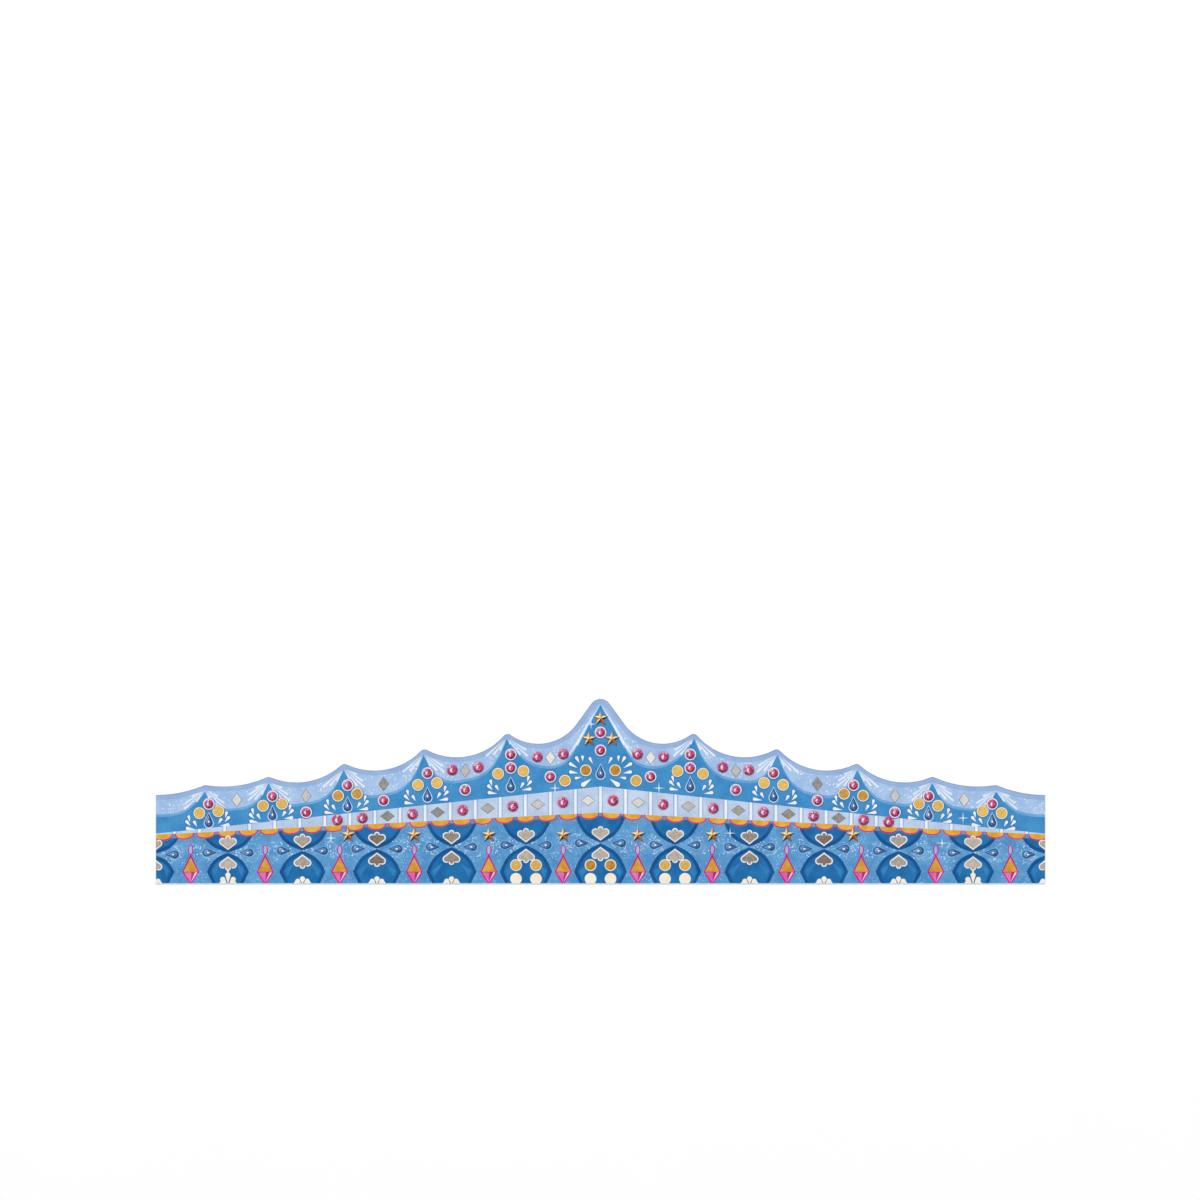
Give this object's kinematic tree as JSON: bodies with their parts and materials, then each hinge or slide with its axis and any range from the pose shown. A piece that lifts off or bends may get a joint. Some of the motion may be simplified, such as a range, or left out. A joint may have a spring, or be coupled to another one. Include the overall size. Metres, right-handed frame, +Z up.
{
  "type": "paper crown",
  "caption": "Flat die-cut card strip with a pointed crest and scooped bays between smaller tips, printed with bands and lattice and set with raised stickers.",
  "frame": {"origin": "middle of the crown's outer box, on the surface that the card lies on", "axes": "+X along the strip, +Y from the straight edge towards the crest, +Z up out of the printed face"},
  "size_m": [0.525, 0.1094, 0.0021],
  "materials": {
    "printed_card": "printed in blues on the face, with a light satin coat; plain white back",
    "pink_gem": "faceted, clear pink over a mirror back",
    "blue_gem": "faceted, clear blue over a mirror back",
    "gold_foil": "gold glitter foil",
    "gold_star": "metallic gold, faceted",
    "silver_foil": "silver glitter foil"
  },
  "bodies": {
    "root": {"band_gems": "pink_gem", "band_lozenges": "silver_foil", "centre_trefoils": "silver_foil", "crest_dots": "gold_foil", "crest_drop": "blue_gem", "crest_gems": "pink_gem", "crest_stars": "gold_star", "crown_card": "printed_card", "end_trefoils_left": "silver_foil", "end_trefoils_right": "silver_foil", "field_dots_left": "gold_foil", "field_dots_right": "gold_foil", "field_stars_left": "gold_star", "field_stars_right": "gold_star", "lower_trefoils_left": "silver_foil", "lower_trefoils_right": "silver_foil", "side_drops_left": "blue_gem", "side_drops_right": "blue_gem", "swag_lower_gems_left": "pink_gem", "swag_lower_gems_right": "pink_gem", "swag_lozenges_left": "silver_foil", "swag_lozenges_right": "silver_foil", "swag_pair_gems_left": "pink_gem", "swag_pair_gems_right": "pink_gem", "tip_1_dots_left": "gold_foil", "tip_1_dots_right": "gold_foil", "tip_1_drop_left": "blue_gem", "tip_1_drop_right": "blue_gem", "tip_1_gems_left": "pink_gem", "tip_1_gems_right": "pink_gem", "tip_2_dots_left": "gold_foil", "tip_2_dots_right": "gold_foil", "tip_2_drop_left": "blue_gem", "tip_2_drop_right": "blue_gem", "tip_2_gems_left": "pink_gem", "tip_2_gems_right": "pink_gem", "tip_3_dots_left": "gold_foil", "tip_3_dots_right": "gold_foil", "tip_3_drop_left": "blue_gem", "tip_3_drop_right": "blue_gem", "tip_3_gems_left": "pink_gem", "tip_3_gems_right": "pink_gem", "tip_4_dots_left": "gold_foil", "tip_4_dots_right": "gold_foil", "tip_4_drop_left": "blue_gem", "tip_4_drop_right": "blue_gem", "tip_4_gems_left": "pink_gem", "tip_4_gems_right": "pink_gem", "tip_5_dots_left": "gold_foil", "tip_5_dots_right": "gold_foil", "tip_5_drop_left": "blue_gem", "tip_5_drop_right": "blue_gem", "tip_5_gems_left": "pink_gem", "tip_5_gems_right": "pink_gem", "upper_trefoils_left": "silver_foil", "upper_trefoils_right": "silver_foil"}
  },
  "joints": []
}
